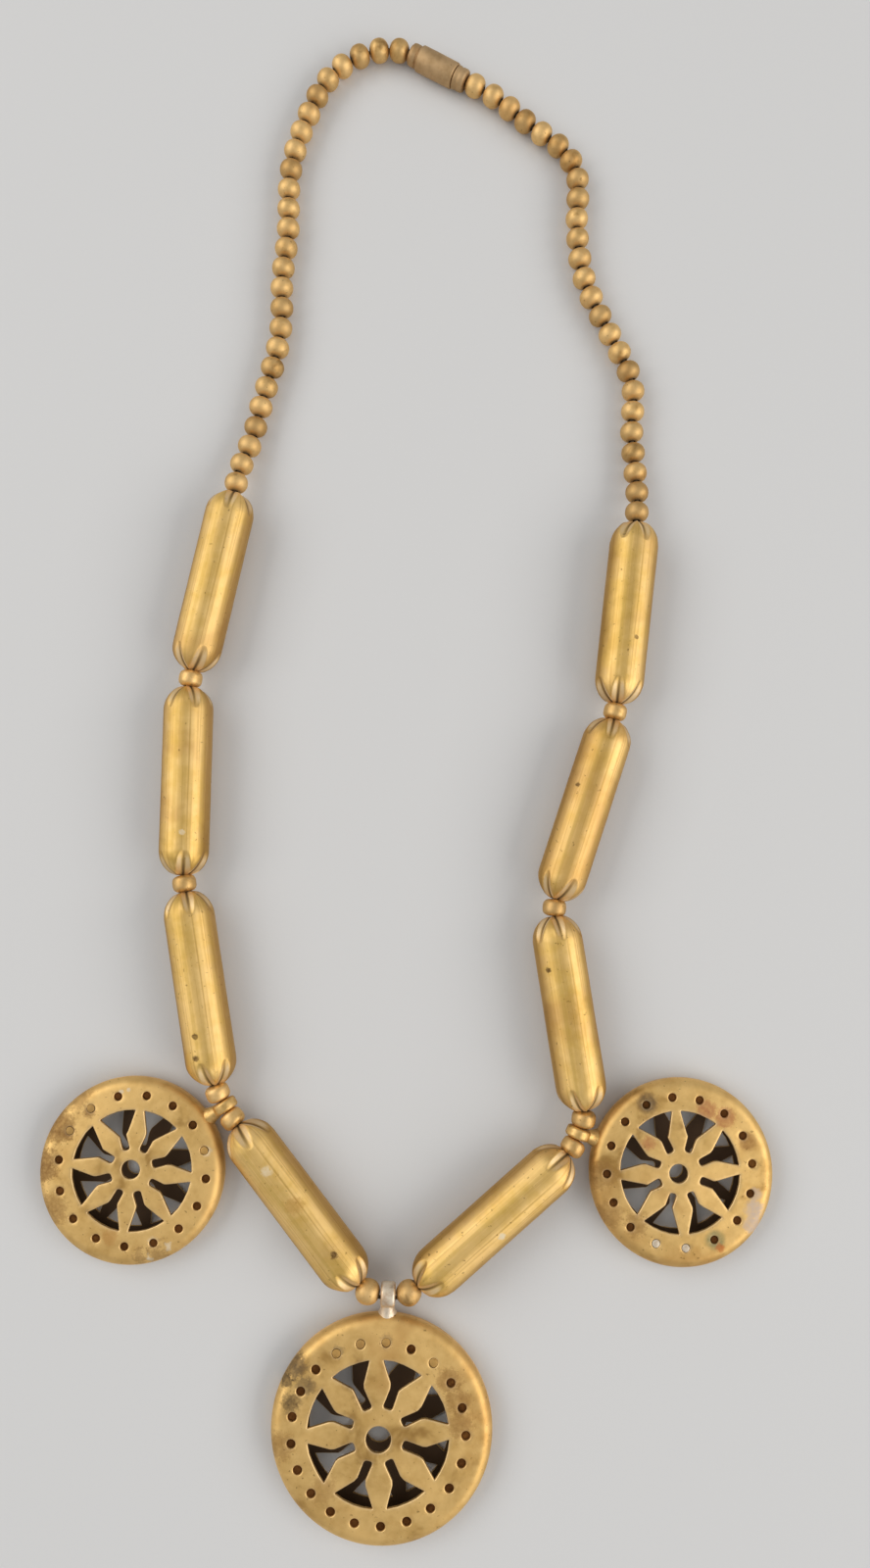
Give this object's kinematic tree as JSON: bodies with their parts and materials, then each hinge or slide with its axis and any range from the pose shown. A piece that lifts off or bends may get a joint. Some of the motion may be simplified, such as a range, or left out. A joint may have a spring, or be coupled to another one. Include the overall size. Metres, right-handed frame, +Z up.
{
  "type": "tribal necklace",
  "caption": "Brass necklace of pierced hollow round pendants, crimped tube beads and round beads on a thread, closed by a barrel clasp and lying flat.",
  "frame": {"origin": "on the floor under the middle of the laid necklace's outline", "axes": "+Z up off the floor it lies on, +Y from the centre pendant towards the clasp, +X towards the right pendant"},
  "size_m": [0.1208, 0.2594, 0.0084],
  "materials": {
    "bead_brass": "satin, aged, darker in the hollows",
    "spacer_brass": "satin, aged",
    "tube_brass": "satin, aged, faint lengthwise rolling marks",
    "pendant_brass": "satin, aged, with brown tarnish stains",
    "clasp_brass": "dull, tarnished",
    "thread": "matte twisted cotton"
  },
  "bodies": {
    "root": {"left_bead_string": "bead_brass", "right_bead_string": "bead_brass", "thread": "thread", "left_tube_1": "tube_brass", "left_tube_2": "tube_brass", "left_tube_3": "tube_brass", "left_tube_4": "tube_brass", "right_tube_1": "tube_brass", "right_tube_2": "tube_brass", "right_tube_3": "tube_brass", "right_tube_4": "tube_brass", "left_bail_bead": "bead_brass", "right_bail_bead": "bead_brass", "left_inner_bead": "spacer_brass", "left_outer_bead": "spacer_brass", "left_middle_bead": "spacer_brass", "left_upper_bead": "spacer_brass", "right_inner_bead": "spacer_brass", "right_outer_bead": "spacer_brass", "right_middle_bead": "spacer_brass", "right_upper_bead": "spacer_brass", "left_pendant": "pendant_brass", "right_pendant": "pendant_brass", "centre_pendant": "pendant_brass", "clasp_barrel": "clasp_brass", "clasp_screw_end": "clasp_brass"}
  },
  "joints": []
}
